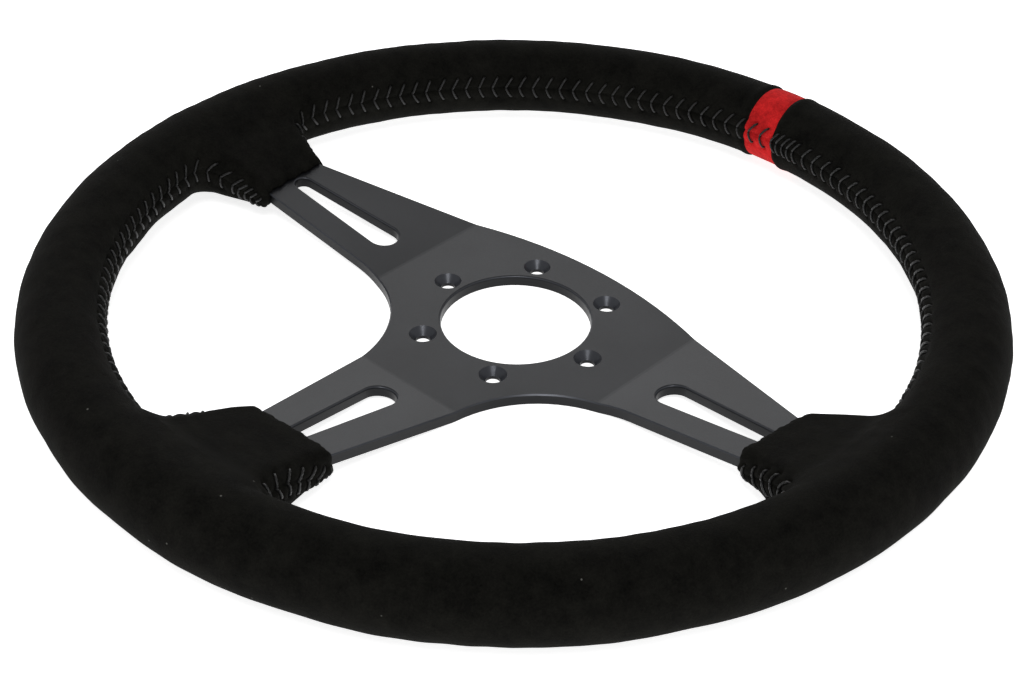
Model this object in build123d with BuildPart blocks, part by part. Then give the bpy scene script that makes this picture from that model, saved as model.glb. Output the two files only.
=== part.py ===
from build123d import *
import os
from math import asin, atan, atan2, cos, degrees, pi, radians, sin, sqrt

os.makedirs("parts", exist_ok=True)

# A dished three-spoke motorsport steering wheel with a suede-covered rim.
# Millimetres. The origin is the centre of the hub's rear mounting face. +Z points at the
# driver, +Y at 12 o'clock and +X at 3 o'clock.

# Hub
plate_thickness = 4.0
pitch_radius = 35.0
bolt_count = 6
bolt_clearance_radius = 2.6
countersink_radius = 5.05
centre_hole_radius = 27.5
edge_break = 0.45
edge_round = 0.8

# Spokes, as the driver sees them
fold_distance = 55.0
fold_slope = 0.145
fold_radius = 10.0
spoke_end = 147.0
hub_top = 44.9
crown_radius = 173.0
upper_edge_slope = 0.34
side_spoke_bottom = -15.3
side_tongue_start = 122.0
bottom_spoke_half_width = 16.3
bottom_spoke_taper = 0.125
bottom_tongue_start = 112.0
web_radius = 45.0
tongue_corner = 3.0

# Tapered lightening slots. Each end is a distance along the spoke, an offset across it and a radius.
side_slot_ends = ((72.7, 2.2, 6.0), (115.0, -0.2, 3.5))
bottom_slot_ends = ((68.5, 0.0, 6.1), (114.8, 0.0, 2.7))

# Rim
rim_radius = 160.8
rim_height = 18.2
rim_half_width = 15.5
rim_half_depth = 15.0
suede_thickness = 1.2
marker_width = 13.4
marker_offset = -2.3

# Rim core
hoop_bar_radius = 4.0
tab_thickness = 2.0
tab_width = 22.0
tab_start = 126.0
rivet_distances = (131.5, 141.5)
rivet_shank_radius = 2.4
rivet_head_radius = 4.3
rivet_head_height = 1.4

# Sewing thread, as one plain cord along each seam
thread_radius = 0.5
thread_clearance = 0.05

# Each spoke: the direction it points in, and the direction its offsets are measured in
SPOKES = {
    "right": (Vector(1, 0, 0), Vector(0, 1, 0)),
    "left": (Vector(-1, 0, 0), Vector(0, 1, 0)),
    "bottom": (Vector(0, -1, 0), Vector(1, 0, 0)),
}

# Pod cross-sections from the mouth to inside the rim. Each is a distance along the spoke, the
# reach on the offset side, the reach on the other side, the lowest z, the highest z and the
# corner radius. The hand-wrapped pods differ a little.
PODS = {
    "right": (
        (116.4, 15.6, 17.3, 6.1, 17.0, 3.5),
        (129.4, 23.8, 20.4, 4.4, 20.8, 5.0),
        (151.4, 31.0, 31.5, 4.8, 28.2, 6.0),
    ),
    "left": (
        (118.8, 15.0, 19.2, 6.1, 16.2, 3.5),
        (131.8, 17.6, 22.0, 4.4, 21.4, 5.0),
        (151.8, 27.5, 31.3, 4.8, 28.6, 6.0),
    ),
    "bottom": (
        (107.1, 19.6, 18.3, 4.7, 15.0, 3.5),
        (120.1, 21.8, 23.9, 3.8, 19.1, 5.0),
        (152.1, 30.5, 32.7, 4.5, 28.8, 6.0),
    ),
}

# Cover joints, in degrees counter-clockwise from 3 o'clock
right_joints = (-17.0, 17.0)
left_joints = (163.0, 197.0)
bottom_joints = (252.0, 288.0)

# Sizes of cutting shapes that only have to be larger than the wheel
beyond = 200.0
above = 60.0

# The two bent sheets are joined this far inside the bottom spoke's fold.
sheet_joint = 2.0
close_enough = 0.01


def save(piece, name):
    """Label a finished piece and write its STEP file."""
    piece.part.label = name
    export_step(piece.part, f"parts/{name}.step")


def sheet_height(distance):
    """Height of the middle of the plate's thickness, at a distance from the axis."""
    return plate_thickness / 2 + fold_slope * max(0, distance - fold_distance)


def spoke_frame(name, distance):
    """Plane at mid-thickness on a spoke: local Z leaves the front face, local X runs outwards."""
    out = SPOKES[name][0]
    return Plane(
        origin=out * distance + Vector(0, 0, sheet_height(distance)),
        x_dir=out + Vector(0, 0, fold_slope),
        z_dir=Vector(0, 0, 1) - out * fold_slope,
    )


def section_plane(name, distance):
    """Upright plane across a spoke: local X runs along the offset direction, local Y is up."""
    out, side = SPOKES[name]
    return Plane(origin=out * distance, x_dir=side, z_dir=side.cross(Vector(0, 0, 1)))


# ---------------------------------------------------------------- spoke plate


def bent_sheet(plane):
    """A wide strip, flat over the hub and folded up towards the driver on both sides."""
    with BuildPart() as sheet:
        with BuildSketch(plane):
            with BuildLine():
                FilletPolyline(
                    (-beyond, sheet_height(beyond)),
                    (-fold_distance, sheet_height(fold_distance)),
                    (fold_distance, sheet_height(fold_distance)),
                    (beyond, sheet_height(beyond)),
                    radius=fold_radius,
                )
            trace(line_width=plate_thickness)
        extrude(amount=beyond, both=True)
    return sheet.part


def plate_outline():
    """The plate's outline seen from the front, before it is folded."""
    edge_angle = atan(upper_edge_slope)
    crown_x = crown_radius * sin(edge_angle)
    crown_y = hub_top - crown_radius * (1 - cos(edge_angle))
    tongue_top = crown_y - upper_edge_slope * (side_tongue_start - crown_x)
    web_x = bottom_spoke_half_width + bottom_spoke_taper * (bottom_tongue_start + side_spoke_bottom)
    right_half = (
        (crown_x, crown_y),
        (side_tongue_start, tongue_top),
        (spoke_end, tongue_top),
        (spoke_end, side_spoke_bottom),
        (web_x, side_spoke_bottom),
        (bottom_spoke_half_width, -bottom_tongue_start),
        (bottom_spoke_half_width, -spoke_end),
    )
    left_half = tuple((-x, y) for x, y in reversed(right_half))
    with BuildSketch() as outline:
        with BuildLine():
            ThreePointArc((-crown_x, crown_y), (0, hub_top), (crown_x, crown_y))
            Polyline(*right_half, *left_half)
        make_face()
        corners = outline.vertices()
        fillet(corners.filter_by(lambda v: abs(abs(v.X) - web_x) < close_enough), web_radius)
        tips = outline.vertices().filter_by(lambda v: max(abs(v.X), -v.Y) > spoke_end - close_enough)
        fillet(tips, tongue_corner)
    return outline.sketch


def spoke_blank(whole, lower):
    """The side spokes with the hub, or the bottom spoke alone, cut from a bent sheet."""
    split_y = -fold_distance + sheet_joint
    centre_y = split_y - beyond / 2 if lower else split_y + beyond / 2
    with BuildPart() as blank:
        with BuildSketch():
            add(whole)
            with Locations((0, centre_y)):
                Rectangle(2 * beyond, beyond, mode=Mode.INTERSECT)
        extrude(amount=above)
        add(bent_sheet(Plane.YZ if lower else Plane.XZ), mode=Mode.INTERSECT)
    return blank.part


def slot_sketch(name, ends):
    """A tapered slot along one spoke, seen from the front."""
    out, side = SPOKES[name]
    with BuildSketch() as shape:
        for distance, offset, radius in ends:
            with Locations(out * distance + side * offset):
                Circle(radius)
        make_hull()
    return shape.sketch


def on_front(edge):
    """True for an edge that lies on the plate's front face."""
    middle = edge.center()
    distance = max(abs(middle.X), -middle.Y)
    return middle.Z > sheet_height(distance) + plate_thickness / 4


def outline_edges(part):
    """Edges where the plate's front meets its outer side walls."""
    faces = part.faces().filter_by(lambda face: face.normal_at().Z > cos(2 * atan(fold_slope)))
    edges = [edge for face in faces for edge in face.edges() if on_front(edge)]
    return [e for e in edges if sum(e.is_same(other) for other in edges) == 1]


plate_sketch = plate_outline()
with BuildPart() as spoke_plate:
    add(spoke_blank(plate_sketch, lower=False))
    add(spoke_blank(plate_sketch, lower=True))
    chamfer(outline_edges(spoke_plate.part), edge_break)
    with BuildSketch():
        Circle(centre_hole_radius)
        add(slot_sketch("right", side_slot_ends))
        add(slot_sketch("left", side_slot_ends))
        add(slot_sketch("bottom", bottom_slot_ends))
    extrude(amount=above, mode=Mode.SUBTRACT)
    fillet(spoke_plate.edges(Select.LAST).filter_by(on_front), edge_round)
    with Locations(Plane.XY.offset(plate_thickness)):
        with PolarLocations(pitch_radius, bolt_count):
            CounterSinkHole(bolt_clearance_radius, countersink_radius)
    for spoke in SPOKES:
        for distance in rivet_distances:
            with Locations(spoke_frame(spoke, distance)):
                Hole(rivet_shank_radius)
save(spoke_plate, "spoke_plate")


# ---------------------------------------------------------------- rim core

with BuildPart() as rim_hoop:
    with BuildSketch(Plane.XZ):
        with Locations((rim_radius, rim_height)):
            Circle(hoop_bar_radius)
    revolve(axis=Axis.Z)
save(rim_hoop, "rim_hoop")


def hoop_tab(name):
    """Flat strip under a spoke's end, with a saddle where it is welded to the hoop."""
    length = rim_radius - tab_start
    with BuildPart() as tab:
        with BuildSketch(spoke_frame(name, tab_start).offset(-plate_thickness / 2)):
            with Locations((length / 2, 0)):
                Rectangle(length, tab_width)
        extrude(amount=-tab_thickness)
        add(rim_hoop.part, mode=Mode.SUBTRACT)
        for distance in rivet_distances:
            with Locations(spoke_frame(name, distance)):
                Hole(rivet_shank_radius)
    return tab


tabs = {name: hoop_tab(name) for name in SPOKES}
for name, tab in tabs.items():
    save(tab, f"hoop_tab_{name}")


with BuildPart() as spoke_rivets:
    stack = plate_thickness + tab_thickness
    for spoke in SPOKES:
        for distance in rivet_distances:
            front = spoke_frame(spoke, distance).offset(plate_thickness / 2)
            with BuildSketch(front):
                Circle(rivet_shank_radius)
            extrude(amount=-stack)
            with BuildSketch(front, front.offset(-stack - rivet_head_height)):
                Circle(rivet_head_radius)
            extrude(amount=rivet_head_height)
save(spoke_rivets, "spoke_rivets")


# ---------------------------------------------------------------- foam and covers


def envelope(inset):
    """The rim with its three pods, as one solid, set in from the cover's outer surface."""
    with BuildPart() as body:
        for name, sections in PODS.items():
            for number, (distance, near, far, low, high, corner) in enumerate(sections):
                at = distance + inset if number == 0 else distance
                with BuildSketch(section_plane(name, at)):
                    with Locations(((near - far) / 2, (low + high) / 2)):
                        RectangleRounded(near + far - 2 * inset, high - low - 2 * inset, corner - inset)
            loft(ruled=True)
        with BuildSketch(Plane.XZ):
            with Locations((rim_radius, rim_height)):
                Ellipse(rim_half_width - inset, rim_half_depth - inset)
        revolve(axis=Axis.Z)
    return body.part


inner = envelope(suede_thickness)
outer = envelope(0)

with BuildPart() as rim_foam:
    add(inner)
    add(spoke_plate.part, mode=Mode.SUBTRACT)
    add(rim_hoop.part, mode=Mode.SUBTRACT)
    add([tab.part for tab in tabs.values()], mode=Mode.SUBTRACT)
    add(spoke_rivets.part, mode=Mode.SUBTRACT)
save(rim_foam, "rim_foam")


with BuildPart() as marker_slice:
    with Locations((marker_offset, beyond / 2, 0)):
        Box(marker_width, beyond, 2 * above)

with BuildPart() as skin:
    add(outer)
    add(inner, mode=Mode.SUBTRACT)
    add(spoke_plate.part, mode=Mode.SUBTRACT)

with BuildPart() as marker_band:
    add(skin.part)
    add(marker_slice.part, mode=Mode.INTERSECT)
save(marker_band, "marker_band")

with BuildPart() as plain_skin:
    add(skin.part)
    add(marker_slice.part, mode=Mode.SUBTRACT)


def sector(start, end):
    """A wedge about the axis between two angles less than half a turn apart."""
    ray = [(0, 0)]
    for angle in (start, (start + end) / 2, end):
        ray.append((2 * beyond * cos(radians(angle)), 2 * beyond * sin(radians(angle))))
    with BuildPart() as wedge:
        with BuildSketch():
            with BuildLine():
                Polyline(*ray, close=True)
            make_face()
        extrude(amount=above, both=True)
    return wedge.part


panels = {
    "cover_top_right": (right_joints[1], 90),
    "cover_top_left": (90, left_joints[0]),
    "pod_cover_left": left_joints,
    "cover_lower_left": (left_joints[1], bottom_joints[0]),
    "pod_cover_bottom": bottom_joints,
    "cover_lower_right": (bottom_joints[1], 360 + right_joints[0]),
    "pod_cover_right": right_joints,
}
for name, (start, end) in panels.items():
    with BuildPart() as panel:
        add(plain_skin.part)
        add(sector(start, end), mode=Mode.INTERSECT)
    save(panel, name)


# ---------------------------------------------------------------- seam threads

thread_offset = thread_radius + thread_clearance
thread_circle = rim_radius - rim_half_width - thread_offset


def pod_route(name, sign):
    """Thread centre line down one side of a pod: mouth, shoulder, and where it meets the rim."""
    out, side = SPOKES[name]
    flat = []
    for distance, near, far, low, high, _ in PODS[name]:
        flat.append((Vector(distance, near if sign > 0 else far, 0), (low + high) / 2))
    (mouth, mouth_z), (shoulder, shoulder_z), (root, _) = flat
    first = (shoulder - mouth).normalized()
    second = (root - shoulder).normalized()
    first_normal = Vector(-first.Y, first.X, 0)
    second_normal = Vector(-second.Y, second.X, 0)
    mitre = (first_normal + second_normal) / (1 + first_normal.dot(second_normal))
    start = mouth + first_normal * thread_offset
    bend = shoulder + mitre * thread_offset
    along = bend.dot(second)
    run = sqrt(along**2 - bend.dot(bend) + thread_circle**2) - along
    meet = bend + second * run
    heights = (mouth_z, shoulder_z, rim_height)
    return [
        out * p.X + side * (sign * p.Y) + Vector(0, 0, z) for p, z in zip((start, bend, meet), heights)
    ]


def rim_point(angle):
    """A point on the seam round the rim's inside."""
    return Vector(thread_circle * cos(angle), thread_circle * sin(angle), rim_height)


def seam_thread(name, start_route, end_route):
    """Cord along the rim between two points, with straight legs down the pods at its ends."""
    start = start_route[-1]
    end = end_route[-1]
    turn = (atan2(end.Y, end.X) - atan2(start.Y, start.X)) % (2 * pi)
    tangent = Vector(-start.Y, start.X, 0)
    with BuildPart() as cord:
        with BuildSketch(Plane(origin=start, x_dir=Vector(start.X, start.Y, 0), z_dir=tangent)):
            Circle(thread_radius)
        revolve(axis=Axis.Z, revolution_arc=degrees(turn))
        for route in (start_route, end_route):
            for a, b in zip(route, route[1:]):
                with BuildSketch(Plane(origin=a, z_dir=b - a)):
                    Circle(thread_radius)
                extrude(amount=(b - a).length)
                with Locations(b):
                    Sphere(thread_radius)
    save(cord, name)


marker_right = rim_point(pi / 2 - asin((marker_offset + marker_width / 2) / thread_circle))
marker_left = rim_point(pi / 2 - asin((marker_offset - marker_width / 2) / thread_circle))
seam_thread("seam_thread_top_right", pod_route("right", 1), [marker_right])
seam_thread("seam_thread_marker", [marker_right], [marker_left])
seam_thread("seam_thread_top_left", [marker_left], pod_route("left", 1))
seam_thread("seam_thread_lower_left", pod_route("left", -1), pod_route("bottom", -1))
seam_thread("seam_thread_lower_right", pod_route("bottom", 1), pod_route("right", -1))
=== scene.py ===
import math

import bpy
import numpy as np
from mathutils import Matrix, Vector
from mathutils.kdtree import KDTree


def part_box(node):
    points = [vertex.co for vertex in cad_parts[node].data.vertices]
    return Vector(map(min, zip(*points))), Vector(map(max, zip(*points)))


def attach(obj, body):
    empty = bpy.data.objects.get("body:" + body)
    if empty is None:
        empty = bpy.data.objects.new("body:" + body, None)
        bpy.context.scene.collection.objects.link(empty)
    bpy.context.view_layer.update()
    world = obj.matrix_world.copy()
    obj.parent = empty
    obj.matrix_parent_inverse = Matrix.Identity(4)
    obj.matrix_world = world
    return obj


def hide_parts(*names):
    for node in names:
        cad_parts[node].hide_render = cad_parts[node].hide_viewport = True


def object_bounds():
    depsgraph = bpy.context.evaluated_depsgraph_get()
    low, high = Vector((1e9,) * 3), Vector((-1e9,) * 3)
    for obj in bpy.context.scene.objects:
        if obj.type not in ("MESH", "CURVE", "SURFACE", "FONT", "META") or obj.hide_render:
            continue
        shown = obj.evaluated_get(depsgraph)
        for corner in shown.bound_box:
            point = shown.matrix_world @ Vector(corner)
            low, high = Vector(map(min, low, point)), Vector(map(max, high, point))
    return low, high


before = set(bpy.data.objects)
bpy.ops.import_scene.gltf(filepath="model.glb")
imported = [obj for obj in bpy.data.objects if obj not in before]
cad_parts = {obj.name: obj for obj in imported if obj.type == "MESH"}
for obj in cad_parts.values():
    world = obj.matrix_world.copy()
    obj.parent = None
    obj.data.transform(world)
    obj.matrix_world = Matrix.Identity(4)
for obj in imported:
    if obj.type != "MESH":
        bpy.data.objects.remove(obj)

# A dished three-spoke motorsport steering wheel. The shapes are worked out in millimetres, in the
# CAD model's frame, and a mesh's points are scaled to metres when it is made.
MM = 0.001
cad_low, cad_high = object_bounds()
rng = np.random.default_rng(7)


def box_mm(node):
    """A CAD node's lowest and highest corners, in millimetres."""
    low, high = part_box(node)
    return np.array(low) / MM, np.array(high) / MM


# ---------------------------------------------------------------- sizes from the frame

hoop_low, hoop_high = box_mm("rim_hoop")
marker_low, marker_high = box_mm("marker_band")
RIM_RADIUS = hoop_high[0] - (hoop_high[2] - hoop_low[2]) / 2
RIM_HEIGHT = (hoop_low[2] + hoop_high[2]) / 2
RIM_HALF_WIDTH = marker_high[1] - RIM_RADIUS
RIM_HALF_DEPTH = (marker_high[2] - marker_low[2]) / 2
MARKER_RIGHT = marker_high[0]
MARKER_LEFT = marker_low[0]
RIGHT_MOUTH = box_mm("pod_cover_right")[0][0]
LEFT_MOUTH = -box_mm("pod_cover_left")[1][0]
BOTTOM_MOUTH = -box_mm("pod_cover_bottom")[1][1]

# Spoke plate, as in the CAD model
PLATE_HALF = 2.0
FOLD_DISTANCE = 55.0
FOLD_SLOPE = 0.145

# Cover joints, in degrees counter-clockwise from 3 o'clock
RIGHT_JOINTS = (-17.0, 17.0)
LEFT_JOINTS = (163.0, 197.0)
BOTTOM_JOINTS = (252.0, 288.0)

# Suede and the foam under it
SUEDE = 1.1
FOAM_DEPTH = SUEDE + 0.75
LIP_ROUND = 3.0
POCKET_ROUND = 1.3
POCKET_DEPTH = 9.0
POCKET_GAP = 0.12
BLEND_FADE = 14.0
BLEND_LEAST = 0.15

# Unevenness from hand work: the height and the size of its waves, and their random seed. The hem's
# waves have a height and a rate in radians per millimetre.
UNEVENNESS = ((0.18, 34.0, 3), (0.09, 11.0, 4))
NOISE_WAVES = 7
HEM_WAVES = ((0.32, 0.85), (0.16, 2.3))

# The suede beside a cut edge rises to a shoulder, then sinks into the joint: rise, sink, spread.
SHOULDER_PLACE = 2.2
SHOULDER_WIDTH = 1.8
BESIDE_MARKER = (0.42, 0.5, 0.9)
MARKER_EDGE = (0.0, 0.15, 0.8)
MARKER_INSET = 0.25

# Hand stitching
PITCH = 5.6
ARM_WIDTH = 4.9
UPPER_LEAN = 2.9
LOWER_LEAN = 2.3
ARM_BOW = 0.12
STITCH_SUNK = 0.75
STITCH_RISE = 1.1
HOLE_SHARE = 0.16
SEAM_SHARE = 0.10
RELIEF_FOLLOWED = 0.6
STITCH_JITTER = (0.2, 0.2, 0.15, 0.15)
THREAD_RADIUS = 0.42
THREAD_TWIST = 2 * math.pi / 1.3
THREAD_LOBES = 3
LOBE_HEIGHT = 0.13
END_TAPER = 0.35
KNOT_REACH = 7.0
FIRST_STITCH = 2.4
SEAM_ANGLE = math.radians(171.5)
SEAM_STEP = 0.4
SEAM_REACH = 11.0
SEAM_OVERRUN = 1.5
FAR = 99.0
SEAM_TURN = 4.0
SEAM_EVENING = 2.0
ARC_POINTS = 400
LEG_START = 0.8
LEG_END = 30.0
LEG_FALL = 26.0
NARROW_ARM = 0.68
NARROW_REACH = 50.0

# Relief of the suede along a seam. A sink is its depth and how far it spreads. The shoulder is its
# height, its distance from the seam and its spread, and a hole's sink is its depth and area.
PUCKER = 0.30
PUCKER_EDGE = 0.35
PUCKER_START = 1.0
SEAM_SINK = (0.55, 0.55)
SEAM_SHOULDER = (0.30, 2.1, 1.3)
ARM_END_SINK = (0.22, 1.6)
HOLE_SINK = (0.55, 0.7)
RELIEF_REACH = 10.5

# Mesh steps
CELL = 0.6
FINE = 0.36
COARSE = 1.3
FOAM_CELL = 1.8
STITCH_STEPS = 22
THREAD_SIDES = 12
PANEL_STEP = FINE * 1.6
FEWEST_STEPS = 8
FINE_REACH = 7.0
FINE_FADE = 8.0
MARGIN = 2.0

# Following a distance field's surface
PROBE = 0.05
LEAST_SLOPE = 0.05
LONGEST_STEP = 2.0

# Edges sharper than this aren't shaded smooth
SHARP_ANGLE = math.radians(65)


# ---------------------------------------------------------------- the grip as a distance field


def smooth_min(a, b, width):
    """The smaller of two distances, blended where they are within a width of each other."""
    near = np.maximum(width - np.abs(a - b), 0.0) / width
    return np.minimum(a, b) - near * near * width / 4


def smooth_max(a, b, width):
    return -smooth_min(-a, -b, width)


def plate_middle(distance):
    """Height of the middle of the spoke plate at a distance from the axis."""
    return PLATE_HALF + FOLD_SLOPE * np.maximum(distance - FOLD_DISTANCE, 0.0)


class Pod:
    """A flare of the grip over a spoke's end, hand-wrapped in suede.

    out and side point along and across the spoke. slant tilts the mouth, in distance out per distance
    across, and undercut sets it back underneath. near, far, high and low are the pod's two reaches
    across and its top and underside, at POD_STEPS past the mouth, and they are rounded off between
    them. corners are its corner radii at the first and last step. plate is the spoke's two reaches
    across, how much each grows towards the hub, and the distance where that starts. seam_share is the
    seam's height on the pod's walls.
    """

    def __init__(
        self, out, side, mouth, slant, undercut, blend, corners, near, far, high, low, plate, seam_share
    ):
        self.out = np.array(out, float)
        self.side = np.array(side, float)
        self.mouth = mouth
        self.slant = slant
        self.undercut = undercut
        self.blend = blend
        self.corners = corners
        self.plate = plate
        self.seam_share = seam_share
        self.stations = np.arange(*POD_SPAN, POD_SAMPLE)
        reach = 2 * POD_ROUNDING
        kernel = np.exp(-0.5 * (np.arange(-reach, reach + 1) / POD_ROUNDING) ** 2)
        kernel /= kernel.sum()
        self.tables = []
        for values in (near, far, high, low):
            table = np.interp(self.stations, POD_STEPS, values)
            first = (values[1] - values[0]) / (POD_STEPS[1] - POD_STEPS[0])
            last = (values[-1] - values[-2]) / (POD_STEPS[-1] - POD_STEPS[-2])
            table += np.minimum(self.stations, 0) * first
            table += np.maximum(self.stations - POD_STEPS[-1], 0) * last
            self.tables.append(np.convolve(np.pad(table, reach, mode="edge"), kernel, mode="valid"))

    def past_mouth(self, p):
        """Distance past the mouth, which is further in underneath."""
        u = p @ self.out
        tuck = self.undercut * np.maximum(plate_middle(u) - p[..., 2], 0.0)
        return u - self.mouth - self.slant * (p @ self.side) - tuck

    def hem(self, p):
        """Waviness of the folded edge round the mouth."""
        v = p @ self.side
        (long_height, long_rate), (short_height, short_rate) = HEM_WAVES
        return long_height * np.sin(long_rate * v + self.mouth) + short_height * np.sin(short_rate * v)

    def profile(self, past):
        return [np.interp(past, self.stations, table) for table in self.tables]

    def field(self, p):
        past = self.past_mouth(p)
        near, far, high, low = self.profile(past)
        corner = np.interp(past, (0.0, POD_STEPS[-1]), self.corners)
        across = np.abs(p @ self.side - (near - far) / 2) - ((near + far) / 2 - corner)
        up = np.abs(p[..., 2] - (low + high) / 2) - ((high - low) / 2 - corner)
        outside = np.hypot(np.maximum(across, 0), np.maximum(up, 0))
        tube = outside + np.minimum(np.maximum(across, up), 0) - corner
        into_rim = np.hypot(p[..., 0], p[..., 1]) - RIM_RADIUS + POD_ROOT
        return smooth_max(np.maximum(tube * FLARE_EASE, into_rim), self.hem(p) - past, LIP_ROUND)

    def pocket(self, p):
        """The mouth that the spoke passes through, with the hem tucked in along the plate."""
        u = p @ self.out
        v = p @ self.side
        near, far, near_slope, far_slope, tongue_start = self.plate
        slab = np.abs(p[..., 2] - plate_middle(u)) - PLATE_HALF
        widening = np.maximum(tongue_start - u, 0.0)
        sides = np.maximum(v - near - near_slope * widening, -v - far - far_slope * widening)
        return np.maximum(np.maximum(slab, sides) - POCKET_GAP, self.past_mouth(p) - POCKET_DEPTH)

    def place(self, u, v, z):
        """Points in the wheel's frame from distances along and across the spoke."""
        return u[:, None] * self.out + v[:, None] * self.side + z[:, None] * np.array([0.0, 0.0, 1.0])


# Distances past a pod's mouth. The rounding is counted in samples.
POD_STEPS = (0.0, 6.0, 13.0, 22.0, 33.0)
POD_SPAN = (-16.0, 70.0)
POD_SAMPLE = 0.5
POD_ROUNDING = 8
POD_ROOT = 5.0
POD_FLOOR = 1.0
FLARE_EASE = 0.9
SIDE_PLATE = (13.15, 15.3, 0.34, 0.0, 122.0)
BOTTOM_PLATE = (16.3, 16.3, 0.125, 0.125, 112.0)
SIDE_LOW = (6.3, 5.4, 4.7, 4.5, 4.8)

# The pods are wrapped by hand, so each has its own reaches.
PODS = {
    "right": Pod(
        out=(1, 0, 0),
        side=(0, 1, 0),
        mouth=RIGHT_MOUTH,
        slant=0.12,
        undercut=0.0,
        blend=6.5,
        corners=(3.6, 9.5),
        near=(15.7, 19.5, 23.9, 27.4, 30.0),
        far=(17.3, 18.0, 20.4, 24.8, 29.7),
        high=(17.4, 19.0, 20.8, 23.8, 27.0),
        low=SIDE_LOW,
        plate=SIDE_PLATE,
        seam_share=0.10,
    ),
    "left": Pod(
        out=(-1, 0, 0),
        side=(0, 1, 0),
        mouth=LEFT_MOUTH,
        slant=0.08,
        undercut=0.4,
        blend=6.0,
        corners=(4.4, 9.5),
        near=(15.1, 15.7, 17.3, 21.4, 27.5),
        far=(19.2, 19.3, 22.0, 25.6, 31.3),
        high=(15.6, 18.3, 21.6, 25.1, 28.6),
        low=SIDE_LOW,
        plate=SIDE_PLATE,
        seam_share=0.16,
    ),
    "bottom": Pod(
        out=(0, -1, 0),
        side=(1, 0, 0),
        mouth=BOTTOM_MOUTH,
        slant=-0.03,
        undercut=0.0,
        blend=7.5,
        corners=(3.4, 10.0),
        near=(19.6, 20.5, 21.7, 23.8, 27.0),
        far=(18.2, 21.0, 23.9, 26.2, 29.3),
        high=(15.2, 17.2, 19.1, 21.9, 25.3),
        low=(5.0, 4.5, 4.1, 4.2, 4.6),
        plate=BOTTOM_PLATE,
        seam_share=-0.06,
    ),
}


def rim_field(p):
    across = (np.hypot(p[..., 0], p[..., 1]) - RIM_RADIUS) / RIM_HALF_WIDTH
    up = (p[..., 2] - RIM_HEIGHT) / RIM_HALF_DEPTH
    return (np.hypot(across, up) - 1) * min(RIM_HALF_WIDTH, RIM_HALF_DEPTH)


def grip_field(p, names=tuple(PODS)):
    """Distance from the surface of the rim with its pods, below zero inside."""
    field = rim_field(p)
    inward = RIM_RADIUS - np.hypot(p[..., 0], p[..., 1])
    toward_hub = np.clip(inward / BLEND_FADE, BLEND_LEAST, 1.0)
    for name in names:
        field = smooth_min(field, PODS[name].field(p), PODS[name].blend * toward_hub)
    for name in names:
        field = smooth_max(field, -PODS[name].pocket(p), POCKET_ROUND)
    return field


def gradient(p, field):
    slopes = []
    for axis in range(3):
        shift = np.zeros(3)
        shift[axis] = PROBE
        slopes.append((field(p + shift) - field(p - shift)) / (2 * PROBE))
    return np.stack(slopes, axis=-1)


def onto_surface(p, field, level=0.0, rounds=4):
    """Moves points along the field's slope until they lie on its surface."""
    for _ in range(rounds):
        slope = gradient(p, field)
        size = np.maximum((slope**2).sum(axis=-1), LEAST_SLOPE)
        step = (field(p) - level) / size
        p = p - np.clip(step, -LONGEST_STEP, LONGEST_STEP)[..., None] * slope
    return p


def normals_of(p, field):
    slope = gradient(p, field)
    return slope / np.maximum(np.linalg.norm(slope, axis=-1), 1e-6)[..., None]


# ---------------------------------------------------------------- mesh helpers


def surface_net(low, high, cell, field, level=0.0):
    """Quads on a field's surface inside a box, one corner in each cell that it crosses."""
    axes = [np.arange(low[a], high[a] + cell, cell) for a in range(3)]
    grid = np.stack(np.meshgrid(*axes, indexing="ij"), axis=-1)
    values = np.empty(grid.shape[:3])
    for index in range(grid.shape[0]):
        values[index] = field(grid[index]) - level
    inside = values < 0
    count = np.zeros([n - 1 for n in inside.shape], int)
    corners = [(i, j, k) for i in (0, 1) for j in (0, 1) for k in (0, 1)]
    size = count.shape

    def corner(array, at):
        return array[at[0]:at[0] + size[0], at[1]:at[1] + size[1], at[2]:at[2] + size[2]]

    for at in corners:
        count += corner(inside, at)
    crossed = (count > 0) & (count < 8)
    cells = np.argwhere(crossed)
    number = np.full(size, -1)
    number[crossed] = np.arange(len(cells))
    total = np.zeros((len(cells), 3))
    hits = np.zeros(len(cells))
    for at in corners:
        for axis in range(3):
            if at[axis]:
                continue
            other = list(at)
            other[axis] = 1
            a = values[tuple((cells + at).T)]
            b = values[tuple((cells + other).T)]
            cut = (a < 0) != (b < 0)
            share = np.where(cut, a / np.where(cut, a - b, 1.0), 0.0)
            spot = np.tile(np.array(at, float), (len(cells), 1))
            spot[:, axis] += share
            total[cut] += spot[cut]
            hits += cut
    points = np.array(low) + (cells + total / hits[:, None]) * cell
    quads = []
    for axis in range(3):
        b, c = [(1, 2), (2, 0), (0, 1)][axis]
        first = [slice(1, -1)] * 3
        second = [slice(1, -1)] * 3
        first[axis] = slice(0, -1)
        second[axis] = slice(1, None)
        flips = np.argwhere(inside[tuple(first)] != inside[tuple(second)])
        offset = np.ones(3, int)
        offset[axis] = 0
        flips = flips + offset
        ring = []
        for step_b, step_c in ((-1, -1), (0, -1), (0, 0), (-1, 0)):
            at = flips.copy()
            at[:, b] += step_b
            at[:, c] += step_c
            ring.append(number[tuple(at.T)])
        quad = np.stack(ring, axis=1)
        forward = inside[tuple(flips.T)]
        quad[~forward] = quad[~forward][:, ::-1]
        quads.append(quad)
    return points, np.concatenate(quads)


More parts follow.
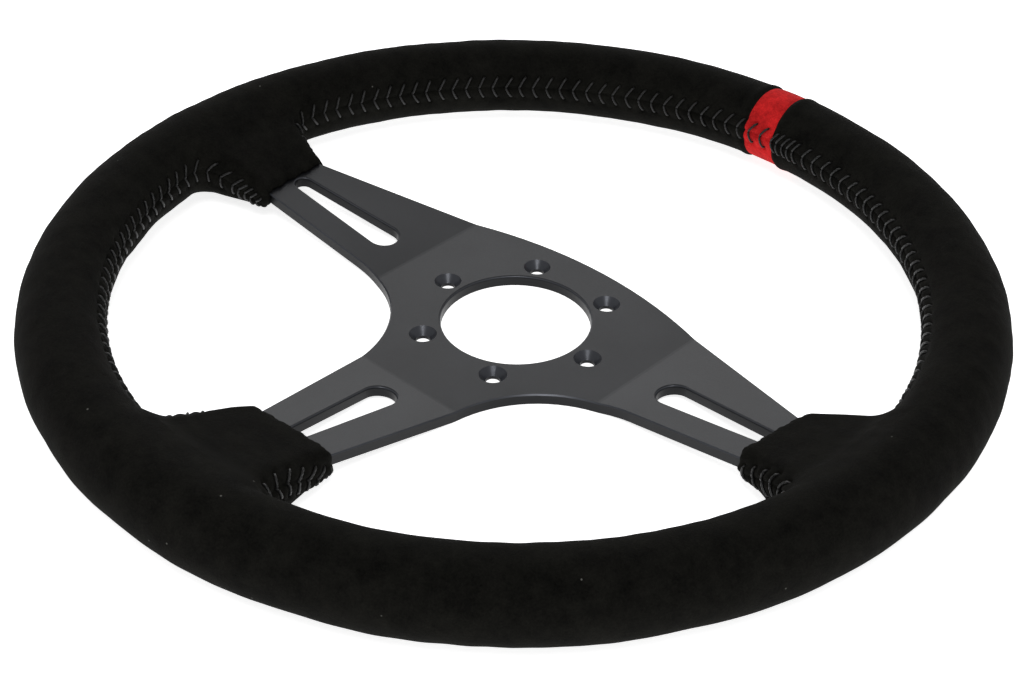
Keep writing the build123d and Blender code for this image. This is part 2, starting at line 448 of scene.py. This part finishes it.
def relax(points, quads, field, level=0.0, rounds=3, evening=0.6):
    """Evens out a surface net without leaving its surface."""
    edges = np.concatenate([quads[:, [i, (i + 1) % 4]] for i in range(4)])
    edges = np.unique(np.sort(edges, axis=1), axis=0)
    links = np.bincount(edges.ravel(), minlength=len(points)).astype(float)
    for _ in range(rounds):
        total = np.zeros_like(points)
        for axis in range(3):
            total[:, axis] += np.bincount(edges[:, 0], points[edges[:, 1], axis], len(points))
            total[:, axis] += np.bincount(edges[:, 1], points[edges[:, 0], axis], len(points))
        even = total / links[:, None]
        points = onto_surface(points * (1 - evening) + evening * even, field, level, 1)
    return onto_surface(points, field, level, 2)


def make_object(name, points, faces, material):
    mesh = bpy.data.meshes.new(name)
    faces = faces if isinstance(faces, list) else faces.tolist()
    mesh.from_pydata((points * MM).tolist(), [], faces)
    mesh.validate()
    mesh.shade_smooth()
    mesh.set_sharp_from_angle(angle=SHARP_ANGLE)
    mesh.materials.append(material)
    piece = bpy.data.objects.new(name, mesh)
    bpy.context.scene.collection.objects.link(piece)
    return piece


def closed_skin(points, faces, normals, thickness):
    """An open sheet of quads with an inner face and edge walls, so that it is a closed solid."""
    count = len(points)
    inner = points - normals * thickness
    loops = np.concatenate([faces[:, [i, (i + 1) % 4]] for i in range(4)])
    keys = np.sort(loops, axis=1)
    _, first, uses = np.unique(keys, axis=0, return_index=True, return_counts=True)
    border = loops[first[uses == 1]]
    walls = np.stack([border[:, 1], border[:, 0], border[:, 0] + count, border[:, 1] + count], axis=1)
    return np.concatenate([points, inner]), np.concatenate([faces, faces[:, ::-1] + count, walls])


# ---------------------------------------------------------------- seams


def smoothed(points, spacing, spread):
    """A polyline resampled at even spacing and rounded off over a distance."""
    gaps = np.linalg.norm(np.diff(points, axis=0), axis=1)
    along = np.concatenate([[0], np.cumsum(gaps)])
    at = np.linspace(0, along[-1], int(along[-1] / spacing) + 1)
    even = np.stack([np.interp(at, along, points[:, axis]) for axis in range(3)], axis=1)
    reach = int(3 * spread / spacing)
    kernel = np.exp(-0.5 * (np.arange(-reach, reach + 1) * spacing / spread) ** 2)
    kernel /= kernel.sum()
    head = 2 * even[0] - even[reach:0:-1]
    tail = 2 * even[-1] - even[-2:-reach - 2:-1]
    long = np.concatenate([head, even, tail])
    return np.stack([np.convolve(long[:, axis], kernel, mode="valid") for axis in range(3)], axis=1)


class Seam:
    """The line where two edges of suede meet, from one pod's mouth to the next, counter-clockwise."""

    def __init__(self, start, end):
        start_leg = self.pod_leg(*start)
        end_leg = self.pod_leg(*end)[::-1]
        first = math.atan2(start_leg[-1][1], start_leg[-1][0])
        last = math.atan2(end_leg[0][1], end_leg[0][0])
        turn = (last - first) % (2 * math.pi)
        angle = first + np.linspace(0.02, 0.98, ARC_POINTS) * turn
        radius = RIM_RADIUS + RIM_HALF_WIDTH * math.cos(SEAM_ANGLE)
        height = RIM_HEIGHT + RIM_HALF_DEPTH * math.sin(SEAM_ANGLE)
        heights = np.full(ARC_POINTS, height)
        arc = np.stack([radius * np.cos(angle), radius * np.sin(angle), heights], axis=1)
        route = smoothed(np.concatenate([start_leg, arc, end_leg]), SEAM_STEP, SEAM_TURN)
        self.points = onto_surface(route, grip_field)
        self.points = onto_surface(smoothed(self.points, SEAM_STEP, SEAM_EVENING), grip_field)
        steps = np.linalg.norm(np.diff(self.points, axis=0), axis=1)
        self.along = np.concatenate([[0], np.cumsum(steps)])
        self.length = self.along[-1]
        tangent = np.gradient(self.points, axis=0)
        self.tangent = tangent / np.linalg.norm(tangent, axis=1)[:, None]
        self.normal = normals_of(self.points, grip_field)
        side = np.cross(self.tangent, self.normal)
        side *= np.sign(side[:, 2])[:, None]
        self.side = side / np.linalg.norm(side, axis=1)[:, None]
        self.width = self.arm_width()
        self.tree = KDTree(len(self.points))
        for index, point in enumerate(self.points):
            self.tree.insert(point, index)
        self.tree.balance()
        self.count = int((self.length - 2 * FIRST_STITCH) / PITCH)
        self.pitch = (self.length - 2 * FIRST_STITCH) / self.count

    @staticmethod
    def pod_leg(name, sign):
        """Points down a pod's side wall, from its mouth to the rim."""
        pod = PODS[name]
        past = np.arange(LEG_START, LEG_END, POD_SAMPLE)
        near, far, high, low = pod.profile(past)
        reach = near if sign > 0 else far
        u = pod.mouth + past + pod.slant * sign * reach
        keep = np.hypot(u, reach) < RIM_RADIUS - RIM_HALF_WIDTH - 1.0
        share = np.clip(past / LEG_FALL, 0, 1)
        seam_height = RIM_HEIGHT + RIM_HALF_DEPTH * math.sin(SEAM_ANGLE)
        wall_height = low + pod.seam_share * (high - low)
        height = wall_height * (1 - share) + seam_height * share
        return pod.place(u[keep], sign * reach[keep], height[keep])

    def arm_width(self):
        """Reach of the stitches each side of the seam: less where a pod's wall is low."""
        from_end = np.minimum(self.along, self.length - self.along)
        return ARM_WIDTH * np.clip(NARROW_ARM + from_end / NARROW_REACH, NARROW_ARM, 1.0)

    def coordinates(self, p):
        """Distance along the seam and signed distance across it, for each point near it."""
        along = np.full(len(p), -FAR)
        across = np.full(len(p), FAR)
        width = np.full(len(p), ARM_WIDTH)
        for index, point in enumerate(p):
            _, near, distance = self.tree.find(point)
            if distance < SEAM_REACH:
                offset = point - self.points[near]
                along[index] = self.along[near] + offset @ self.tangent[near]
                across[index] = math.copysign(distance, offset @ self.side[near])
                width[index] = self.width[near]
        return along, across, width

    def relief(self, along, across, width):
        """How far the suede rises or sinks at a place near the seam."""
        reach = np.abs(across)
        lean = np.where(across > 0, UPPER_LEAN, LOWER_LEAN) / ARM_WIDTH
        phase = (along + lean * reach - FIRST_STITCH) / self.pitch
        from_arm = (phase - np.round(phase)) * self.pitch
        inside = (along > -SEAM_OVERRUN) & (along < self.length + SEAM_OVERRUN)
        band = 1 / (1 + np.exp((reach - width) / PUCKER_EDGE))
        core = 1 - np.exp(-((reach / PUCKER_START) ** 2))
        height = -PUCKER * np.cos(2 * np.pi * from_arm / self.pitch) * band * core
        depth, spread = SEAM_SINK
        height -= depth * np.exp(-((reach / spread) ** 2))
        rise, place, spread = SEAM_SHOULDER
        height += rise * np.exp(-(((reach - place) / spread) ** 2))
        depth, spread = ARM_END_SINK
        height -= depth * np.exp(-(((reach - width) / spread) ** 2))
        depth, area = HOLE_SINK
        hole = from_arm**2 + (reach - width) ** 2
        height -= depth * np.exp(-hole / area)
        return np.where(inside & (reach < RELIEF_REACH), height, 0.0)


# Each seam's two ends: a pod, and the side of it.
SEAMS = {
    "top": Seam(("right", 1), ("left", 1)),
    "lower_left": Seam(("left", -1), ("bottom", -1)),
    "lower_right": Seam(("bottom", 1), ("right", -1)),
}


def smooth_noise(p, scale, seed):
    """Gentle unevenness from a few sine waves, between about -1 and 1."""
    waves = np.random.default_rng(seed)
    total = np.zeros(len(p))
    for _ in range(NOISE_WAVES):
        direction = waves.normal(size=3)
        direction /= np.linalg.norm(direction)
        rate = 2 * np.pi / scale * waves.uniform(0.7, 1.5)
        total += np.sin(p @ direction * rate + waves.uniform(0, 6.28))
    return total / (NOISE_WAVES / 2)


def dress(p, field, seam_names, edges=()):
    """Adds the seams' relief, cut edges and hand-made unevenness to a cover's outer surface.

    Each edge is the distance from it, and the rise, sink and spread of the suede beside it.
    """
    normal = normals_of(p, field)
    height = np.zeros(len(p))
    for size, scale, seed in UNEVENNESS:
        height += size * smooth_noise(p, scale, seed)
    for name in seam_names:
        seam = SEAMS[name]
        height += seam.relief(*seam.coordinates(p))
    for distance, rise, sink, spread in edges:
        height += rise * np.exp(-(((distance - SHOULDER_PLACE) / SHOULDER_WIDTH) ** 2))
        height -= sink * np.exp(-((distance / spread) ** 2))
    return p + normal * height[:, None], normal


# ---------------------------------------------------------------- rim panels and pods


def ring_angles():
    """Angles round the rim's section, close together at the seam and wide apart away from it."""
    radius = (RIM_HALF_WIDTH + RIM_HALF_DEPTH) / 2
    distances = [0.0]
    reach = math.pi * radius
    while distances[-1] < reach:
        here = distances[-1]
        blend = min(max((here - FINE_REACH) / FINE_FADE, 0.0), 1.0)
        distances.append(here + FINE + (COARSE - FINE) * blend)
    half = np.array(distances) * (reach / distances[-1]) / radius
    return SEAM_ANGLE + np.concatenate([half, 2 * math.pi - half[-2:0:-1]])


def rim_panel(start, end, seam_names, marker_start=False, marker_end=False, lift=0.0):
    """A length of the rim's cover, as a grid round and along it, between two angles in degrees.

    An end at the marker follows the marker's straight edge, and the marker is between two of them.
    """
    section = ring_angles()
    radius = RIM_RADIUS + RIM_HALF_WIDTH * np.cos(section)
    height = RIM_HEIGHT + RIM_HALF_DEPTH * np.sin(section)
    right_edge = math.pi / 2 - np.arcsin(MARKER_RIGHT / radius)
    left_edge = math.pi / 2 - np.arcsin(MARKER_LEFT / radius)
    first = np.full(len(section), math.radians(start))
    last = np.full(len(section), math.radians(end))
    if marker_start and marker_end:
        first, last = right_edge, left_edge
    elif marker_start:
        first = left_edge
    elif marker_end:
        last = right_edge
    inner_length = (last - first).max() * (RIM_RADIUS - RIM_HALF_WIDTH)
    steps = max(int(inner_length / PANEL_STEP), FEWEST_STEPS)
    share = np.linspace(0, 1, steps + 1)[:, None]
    angle = first + share * (last - first)
    points = np.stack([radius * np.cos(angle), radius * np.sin(angle), height + 0 * angle], axis=-1)
    rings = points.shape[1]
    points = points.reshape(-1, 3)
    points = onto_surface(points, grip_field)
    along = (share * np.ones(rings)).ravel()
    run = ((last - first) * radius * np.ones((steps + 1, 1))).ravel()
    from_start = along * run
    from_end = (1 - along) * run
    shape = MARKER_EDGE if marker_start and marker_end else BESIDE_MARKER
    edges = []
    if marker_start:
        edges.append((from_start, *shape))
    if marker_end:
        edges.append((from_end, *shape))
    points, normal = dress(points, grip_field, seam_names, edges)
    points += normal * lift
    rows = np.arange(steps)[:, None] * rings
    column = np.arange(rings)
    following = (column + 1) % rings
    near_side = [rows + column, rows + rings + column]
    far_side = [rows + rings + following, rows + following]
    return points, np.stack(near_side + far_side, axis=-1).reshape(-1, 4), normal


def pod_panel(name, joints, seam_names):
    """A pod's cover with its length of rim, between two joints."""
    pod = PODS[name]

    def field(p):
        return grip_field(p, (name,))

    middle = math.radians(sum(joints) / 2)
    half = math.radians((joints[1] - joints[0]) / 2)
    outer = RIM_RADIUS + RIM_HALF_WIDTH + MARGIN
    wide = outer * math.sin(half) + 1.5 * MARGIN
    ends = []
    for u in (pod.mouth - 1.5 * MARGIN, outer):
        for v in (-wide, wide):
            ends.append(u * pod.out[:2] + v * pod.side[:2])
    ends = np.array(ends)
    low = (*ends.min(axis=0), POD_FLOOR)
    high = (*ends.max(axis=0), RIM_HEIGHT + RIM_HALF_DEPTH + MARGIN)
    points, quads = surface_net(low, high, CELL, field)
    points = relax(points, quads, field)
    turn = np.arctan2(points[:, 1], points[:, 0]) - middle
    turn = (turn + math.pi) % (2 * math.pi) - math.pi
    margin = 1.2 * CELL / RIM_RADIUS
    keep = (np.abs(turn[quads]) < half + margin).all(axis=1)
    quads = quads[keep]
    used, quads = np.unique(quads, return_inverse=True)
    quads = quads.reshape(-1, 4)
    points = points[used]
    turn = turn[used]
    # The outermost corners are pulled onto the joint planes, so that the panels meet.
    radius = np.hypot(points[:, 0], points[:, 1])
    over = np.abs(turn) > half - 0.5 * margin
    snapped = middle + np.sign(turn) * half
    points[over, 0] = (radius * np.cos(snapped))[over]
    points[over, 1] = (radius * np.sin(snapped))[over]
    points, normal = dress(points, field, seam_names)
    return points, quads, normal


# ---------------------------------------------------------------- threads


def tubes(paths, rings):
    """Twisted threads along several paths of the same number of points, as one mesh."""
    paths = np.asarray(paths)
    count, steps, _ = paths.shape
    tangent = np.gradient(paths, axis=1)
    tangent /= np.linalg.norm(tangent, axis=2)[..., None]
    up = np.zeros_like(tangent)
    up[..., 2] = 1.0
    side = np.cross(tangent, up)
    side /= np.maximum(np.linalg.norm(side, axis=2), 1e-6)[..., None]
    lift = np.cross(side, tangent)
    gaps = np.linalg.norm(np.diff(paths, axis=1), axis=2)
    along = np.concatenate([np.zeros((count, 1)), np.cumsum(gaps, axis=1)], axis=1)
    angle = np.arange(rings) * 2 * math.pi / rings
    swell = 1 + LOBE_HEIGHT * np.cos(THREAD_LOBES * angle - THREAD_TWIST * along[..., None])
    taper = np.ones(steps)
    taper[0] = END_TAPER
    taper[-1] = END_TAPER
    size = THREAD_RADIUS * swell * taper[None, :, None]
    ring = paths[:, :, None, :] + side[:, :, None, :] * (size * np.cos(angle))[..., None]
    ring = ring + lift[:, :, None, :] * (size * np.sin(angle))[..., None]
    points = ring.reshape(-1, 3)
    base = np.arange(count)[:, None, None] * steps * rings
    row = np.arange(steps - 1)[None, :, None] * rings
    column = np.arange(rings)[None, None, :]
    following = (column + 1) % rings
    start = base + row
    quads = np.stack(
        [start + column, start + rings + column, start + rings + following, start + following], axis=-1
    ).reshape(-1, 4)
    faces = quads.tolist()
    for index in range(count):
        first = index * steps * rings
        last = first + (steps - 1) * rings
        faces.append(list(range(first, first + rings)))
        faces.append(list(range(last + rings - 1, last - 1, -1)))
    return points, faces


def stitch_places(seam, wanted, knots):
    """Where the stitches are along a seam, with a second one between each pair beside a knot."""
    places = FIRST_STITCH + seam.pitch * np.arange(seam.count + 1)
    between = places[:-1] + seam.pitch / 2
    doubled = [at for at in between if any(abs(at - knot) < KNOT_REACH for knot in knots)]
    return [at for at in (*places, *doubled) if wanted(at)]


def stitch_paths(seam, places):
    """Centre lines of a seam's stitches: two arms for each, from the holes to the seam."""
    share = np.linspace(0, 1, STITCH_STEPS)
    bow = ARM_BOW * np.sin(math.pi * share)
    paths = []
    for at in places:
        shifts = rng.normal(size=4) * np.array(STITCH_JITTER)
        width = np.interp(at, seam.along, seam.width)
        for sign, lean, shift, stretch in (
            (1, UPPER_LEAN, shifts[0], shifts[2]),
            (-1, LOWER_LEAN, shifts[1], shifts[3]),
        ):
            reach = (1 - share) * (width + stretch)
            lean_here = lean * width / ARM_WIDTH
            along = at + shift * (1 - share) - lean_here * (1 - share) + bow
            paths.append(on_seam(seam, np.clip(along, 0, seam.length), sign * reach, arm_lift(share)))
    return paths


def arm_lift(share):
    """Height of a stitch's centre over the suede: sunk into its hole and between the edges."""
    ends = np.minimum(share / HOLE_SHARE, 1) * np.minimum((1 - share) / SEAM_SHARE, 1)
    return -STITCH_SUNK + STITCH_RISE * np.sin(np.clip(ends, 0, 1) * math.pi / 2)


def on_seam(seam, along, across, lift):
    """Points at a distance along and across a seam, at a height over the dressed surface."""
    base = np.stack([np.interp(along, seam.along, seam.points[:, a]) for a in range(3)], axis=1)
    side = np.stack([np.interp(along, seam.along, seam.side[:, a]) for a in range(3)], axis=1)
    p = onto_surface(base + side * across[:, None], grip_field)
    normal = normals_of(p, grip_field)
    width = np.interp(along, seam.along, seam.width)
    relief = seam.relief(along, across, width)
    return p + normal * (lift + RELIEF_FOLLOWED * relief)[:, None]


def marker_zone(seam):
    """The stretch of the top seam that the marker band covers."""
    middle = np.argmin(np.abs(seam.points[:, 0]))
    return seam.along[middle] - MARKER_RIGHT, seam.along[middle] - MARKER_LEFT


# ---------------------------------------------------------------- materials


def new_material(name):
    material = bpy.data.materials.new(name)
    material.use_nodes = True
    nodes = material.node_tree.nodes
    links = material.node_tree.links
    return material, nodes, links, nodes["Principled BSDF"]


def noise_node(nodes, links, scale, detail, roughness, vector):
    node = nodes.new("ShaderNodeTexNoise")
    node.inputs["Scale"].default_value = scale
    node.inputs["Detail"].default_value = detail
    node.inputs["Roughness"].default_value = roughness
    links.new(vector, node.inputs["Vector"])
    return node


def ramp_node(nodes, links, value, stops):
    node = nodes.new("ShaderNodeValToRGB")
    ramp = node.color_ramp
    while len(ramp.elements) < len(stops):
        ramp.elements.new(0.5)
    for element, (position, color) in zip(ramp.elements, stops):
        element.position = position
        element.color = (*color, 1.0)
    links.new(value, node.inputs["Fac"])
    return node


def grey_stops(stops):
    return [(position, (value,) * 3) for position, value in stops]


def bump_node(nodes, links, height, strength, distance, normal=None):
    node = nodes.new("ShaderNodeBump")
    node.inputs["Strength"].default_value = strength
    node.inputs["Distance"].default_value = distance
    links.new(height, node.inputs["Height"])
    if normal is not None:
        links.new(normal, node.inputs["Normal"])
    return node


def suede_material(name, dark, light, sheen, sheen_tint, lint):
    """Suede with a short nap: soft patches where it is brushed, fine grain and a few specks."""
    material, nodes, links, shader = new_material(name)
    place = nodes.new("ShaderNodeTexCoord").outputs["Object"]
    patches = noise_node(nodes, links, 90.0, 8.0, 0.78, place)
    grain = noise_node(nodes, links, 1300.0, 5.0, 0.75, place)
    tone = nodes.new("ShaderNodeMath")
    tone.operation = "MULTIPLY_ADD"
    tone.inputs[1].default_value = 0.55
    links.new(grain.outputs["Fac"], tone.inputs[0])
    links.new(patches.outputs["Fac"], tone.inputs[2])
    color = ramp_node(nodes, links, tone.outputs[0], [(0.55, dark), (1.0, light)])
    specks = nodes.new("ShaderNodeTexVoronoi")
    specks.inputs["Scale"].default_value = 120.0
    links.new(place, specks.inputs["Vector"])
    rare = ramp_node(nodes, links, specks.outputs["Distance"], grey_stops([(0.025, 1), (0.05, 0)]))
    chance = nodes.new("ShaderNodeMath")
    chance.operation = "GREATER_THAN"
    chance.inputs[1].default_value = 0.68
    links.new(specks.outputs["Color"], chance.inputs[0])
    both = nodes.new("ShaderNodeMath")
    both.operation = "MULTIPLY"
    links.new(rare.outputs["Color"], both.inputs[0])
    links.new(chance.outputs[0], both.inputs[1])
    mix = nodes.new("ShaderNodeMix")
    mix.data_type = "RGBA"
    mix.inputs["B"].default_value = (*lint, 1.0)
    links.new(both.outputs[0], mix.inputs["Factor"])
    links.new(color.outputs["Color"], mix.inputs["A"])
    links.new(mix.outputs["Result"], shader.inputs["Base Color"])
    rough = ramp_node(nodes, links, patches.outputs["Fac"], grey_stops([(0.3, 0.82), (0.7, 0.98)]))
    links.new(rough.outputs["Color"], shader.inputs["Roughness"])
    shader.inputs["Specular IOR Level"].default_value = 0.04
    shader.inputs["Sheen Weight"].default_value = sheen
    shader.inputs["Sheen Roughness"].default_value = 0.55
    shader.inputs["Sheen Tint"].default_value = (*sheen_tint, 1.0)
    nap = bump_node(nodes, links, grain.outputs["Fac"], 0.55, 0.00035)
    broad = noise_node(nodes, links, 260.0, 3.0, 0.5, place)
    soft = bump_node(nodes, links, broad.outputs["Fac"], 0.4, 0.0006, nap.outputs["Normal"])
    links.new(soft.outputs["Normal"], shader.inputs["Normal"])
    return material


def metal_material(name, dark, light, rough_low, rough_high, grain_scale, metallic, level=0.5):
    """Metal with fine grain, slight blotches, painted shade on upright walls and glossier edges with a
    painted highlight.
    """
    material, nodes, links, shader = new_material(name)
    place = nodes.new("ShaderNodeTexCoord").outputs["Object"]
    blotch = noise_node(nodes, links, 28.0, 5.0, 0.55, place)
    grain = noise_node(nodes, links, grain_scale, 2.0, 0.5, place)
    color = ramp_node(nodes, links, blotch.outputs["Fac"], [(0.3, dark), (0.7, light)])
    facing = nodes.new("ShaderNodeSeparateXYZ")
    links.new(nodes.new("ShaderNodeNewGeometry").outputs["Normal"], facing.inputs[0])
    upright = nodes.new("ShaderNodeMath")
    upright.operation = "ABSOLUTE"
    links.new(facing.outputs["Z"], upright.inputs[0])
    # Painted light: the base colour is darkened on upright walls as painted shade and lightened on
    # slanted edges and countersink cones as a painted highlight.
    painted_light_tones = [(0.2, 0.34), (0.4, 1.0), (0.6, 2.3), (0.82, 2.3), (0.95, 0.55)]
    tone = ramp_node(nodes, links, upright.outputs[0], grey_stops(painted_light_tones))
    mix = nodes.new("ShaderNodeMix")
    mix.data_type = "RGBA"
    mix.blend_type = "MULTIPLY"
    mix.inputs["Factor"].default_value = 1.0
    links.new(color.outputs["Color"], mix.inputs["A"])
    links.new(tone.outputs["Color"], mix.inputs["B"])
    links.new(mix.outputs["Result"], shader.inputs["Base Color"])
    finish = [(0.3, rough_low), (0.7, rough_high)]
    rough = ramp_node(nodes, links, grain.outputs["Fac"], grey_stops(finish))
    polish = [(0.2, 1.0), (0.4, 0.8), (0.88, 0.8), (0.96, 1.0)]
    edge = ramp_node(nodes, links, upright.outputs[0], grey_stops(polish))
    gloss = nodes.new("ShaderNodeMath")
    gloss.operation = "MULTIPLY"
    links.new(rough.outputs["Color"], gloss.inputs[0])
    links.new(edge.outputs["Color"], gloss.inputs[1])
    links.new(gloss.outputs[0], shader.inputs["Roughness"])
    shader.inputs["Metallic"].default_value = metallic
    shader.inputs["Specular IOR Level"].default_value = level
    bump = bump_node(nodes, links, grain.outputs["Fac"], 0.12, 0.00006)
    links.new(bump.outputs["Normal"], shader.inputs["Normal"])
    return material


def thread_material():
    material, nodes, links, shader = new_material("waxed_thread")
    place = nodes.new("ShaderNodeTexCoord").outputs["Object"]
    fibre = noise_node(nodes, links, 2600.0, 3.0, 0.6, place)
    color = ramp_node(nodes, links, fibre.outputs["Fac"], grey_stops([(0.3, 0.004), (0.75, 0.014)]))
    links.new(color.outputs["Color"], shader.inputs["Base Color"])
    shader.inputs["Roughness"].default_value = 0.38
    shader.inputs["Specular IOR Level"].default_value = 0.35
    bump = bump_node(nodes, links, fibre.outputs["Fac"], 0.3, 0.0001)
    links.new(bump.outputs["Normal"], shader.inputs["Normal"])
    return material


def foam_material():
    material, nodes, links, shader = new_material("moulded_foam")
    place = nodes.new("ShaderNodeTexCoord").outputs["Object"]
    pores = noise_node(nodes, links, 900.0, 4.0, 0.6, place)
    color = ramp_node(nodes, links, pores.outputs["Fac"], grey_stops([(0.3, 0.008), (0.7, 0.02)]))
    links.new(color.outputs["Color"], shader.inputs["Base Color"])
    shader.inputs["Roughness"].default_value = 0.8
    bump = bump_node(nodes, links, pores.outputs["Fac"], 0.3, 0.0003)
    links.new(bump.outputs["Normal"], shader.inputs["Normal"])
    return material


black_suede = suede_material(
    "black_suede",
    dark=(0.0011, 0.0011, 0.0009),
    light=(0.0098, 0.0096, 0.0080),
    sheen=0.009,
    sheen_tint=(0.5, 0.48, 0.45),
    lint=(0.11, 0.11, 0.10),
)
red_suede = suede_material(
    "red_suede",
    dark=(0.24, 0.005, 0.006),
    light=(0.80, 0.024, 0.025),
    sheen=0.05,
    sheen_tint=(1.0, 0.5, 0.5),
    lint=(0.55, 0.15, 0.12),
)
anodised = metal_material(
    "anodised_plate",
    dark=(0.0165, 0.0175, 0.0205),
    light=(0.0280, 0.0295, 0.0340),
    rough_low=0.36,
    rough_high=0.46,
    grain_scale=2600.0,
    metallic=0.5,
    level=0.36,
)
steel = metal_material(
    "core_steel",
    dark=(0.30, 0.29, 0.28),
    light=(0.42, 0.41, 0.40),
    rough_low=0.35,
    rough_high=0.55,
    grain_scale=900.0,
    metallic=1.0,
)
plated = metal_material(
    "rivet_steel",
    dark=(0.45, 0.45, 0.45),
    light=(0.58, 0.58, 0.57),
    rough_low=0.25,
    rough_high=0.40,
    grain_scale=1200.0,
    metallic=1.0,
)
waxed = thread_material()
foam_black = foam_material()


# ---------------------------------------------------------------- pieces


def finish_piece(piece, node):
    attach(piece, "root")
    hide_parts(node)


def add_cover(name, made, material=black_suede):
    points, quads, normal = made
    points, faces = closed_skin(points, quads, normal, SUEDE)
    piece = make_object(name + "_suede", points, faces, material)
    finish_piece(piece, name)


add_cover("cover_top_right", rim_panel(RIGHT_JOINTS[1], 90, ["top"], marker_end=True))
add_cover("cover_top_left", rim_panel(90, LEFT_JOINTS[0], ["top"], marker_start=True))
add_cover("cover_lower_left", rim_panel(LEFT_JOINTS[1], BOTTOM_JOINTS[0], ["lower_left"]))
add_cover("cover_lower_right", rim_panel(BOTTOM_JOINTS[1], 360 + RIGHT_JOINTS[0], ["lower_right"]))
add_cover("pod_cover_right", pod_panel("right", RIGHT_JOINTS, ["top", "lower_right"]))
add_cover("pod_cover_left", pod_panel("left", LEFT_JOINTS, ["top", "lower_left"]))
add_cover("pod_cover_bottom", pod_panel("bottom", BOTTOM_JOINTS, ["lower_left", "lower_right"]))
marker = rim_panel(90, 90, ["top"], marker_start=True, marker_end=True, lift=-MARKER_INSET)
add_cover("marker_band", marker, red_suede)


def add_foam():
    reach = RIM_RADIUS + RIM_HALF_WIDTH + MARGIN
    low = (-reach, -reach, RIM_HEIGHT - RIM_HALF_DEPTH - MARGIN)
    high = (reach, reach, RIM_HEIGHT + RIM_HALF_DEPTH + MARGIN)
    points, quads = surface_net(low, high, FOAM_CELL, grip_field, -FOAM_DEPTH)
    points = relax(points, quads, grip_field, -FOAM_DEPTH, 2)
    foam = make_object("rim_foam_core", points, quads, foam_black)
    finish_piece(foam, "rim_foam")


add_foam()


def add_threads(node, seam, wanted, knots=()):
    paths = stitch_paths(seam, stitch_places(seam, wanted, knots))
    points, faces = tubes(paths, THREAD_SIDES)
    piece = make_object(node + "_stitches", points, faces, waxed)
    finish_piece(piece, node)


marker_first, marker_last = marker_zone(SEAMS["top"])
marker_knot = marker_first - 5.0
left_pod_knot = 9.0
add_threads("seam_thread_top_right", SEAMS["top"], lambda at: at < marker_first, [marker_knot])
add_threads("seam_thread_marker", SEAMS["top"], lambda at: marker_first <= at <= marker_last)
add_threads("seam_thread_top_left", SEAMS["top"], lambda at: at > marker_last)
add_threads("seam_thread_lower_left", SEAMS["lower_left"], lambda at: True, [left_pod_knot])
add_threads("seam_thread_lower_right", SEAMS["lower_right"], lambda at: True)


# ---------------------------------------------------------------- carried-over CAD nodes


def give(node, material):
    """Gives a CAD node's object a finished material."""
    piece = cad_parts[node]
    piece.data.materials.clear()
    piece.data.materials.append(material)


give("spoke_plate", anodised)
for steel_node in ("rim_hoop", "hoop_tab_left", "hoop_tab_right", "hoop_tab_bottom"):
    give(steel_node, steel)
give("spoke_rivets", plated)


# ---------------------------------------------------------------- floor, light and camera


FLOOR_SIZE = 8.0
FLOOR_GAP = 0.0002


def floor():
    bpy.ops.mesh.primitive_plane_add(size=FLOOR_SIZE, location=(0, 0, cad_low[2] - FLOOR_GAP))
    plane = bpy.context.object
    plane.name = "floor"
    material, _, _, shader = new_material("floor")
    shader.inputs["Base Color"].default_value = (0.93, 0.93, 0.93, 1.0)
    shader.inputs["Roughness"].default_value = 0.9
    shader.inputs["Specular IOR Level"].default_value = 0.1
    shader.inputs["Emission Color"].default_value = (1.0, 1.0, 1.0, 1.0)
    shader.inputs["Emission Strength"].default_value = 0.8
    plane.data.materials.append(material)


def area_light(name, location, target, size, power):
    data = bpy.data.lights.new(name, "AREA")
    data.shape = "DISK"
    data.size = size
    data.energy = power
    lamp = bpy.data.objects.new(name, data)
    lamp.location = location
    lamp.rotation_euler = (Vector(target) - Vector(location)).to_track_quat("-Z", "Y").to_euler()
    bpy.context.scene.collection.objects.link(lamp)


floor()
area_light("key", (-1.5, 1.3, 0.85), (0, 0, 0), 1.9, 16.0)
area_light("front", (0.65, -0.7, 1.35), (0, 0, 0), 0.6, 7.5)

world = bpy.data.worlds.new("studio")
world.use_nodes = True
world.node_tree.nodes["Background"].inputs["Color"].default_value = (1.0, 1.0, 1.0, 1.0)
world.node_tree.nodes["Background"].inputs["Strength"].default_value = 0.5
bpy.context.scene.world = world
bpy.context.scene.view_settings.view_transform = "Standard"

# The camera stands off the wheel's lower right and looks down at it.
camera_data = bpy.data.cameras.new("camera")
camera_data.lens = 68.4
camera_data.sensor_width = 36.0
camera_data.shift_x = -0.0294
camera_data.shift_y = -0.0497
camera = bpy.data.objects.new("camera", camera_data)
camera.location = (0.3969, -0.4283, 0.4159)
camera.rotation_euler = [math.radians(angle) for angle in (55.589, -1.218, 42.627)]
bpy.context.scene.collection.objects.link(camera)
bpy.context.scene.camera = camera
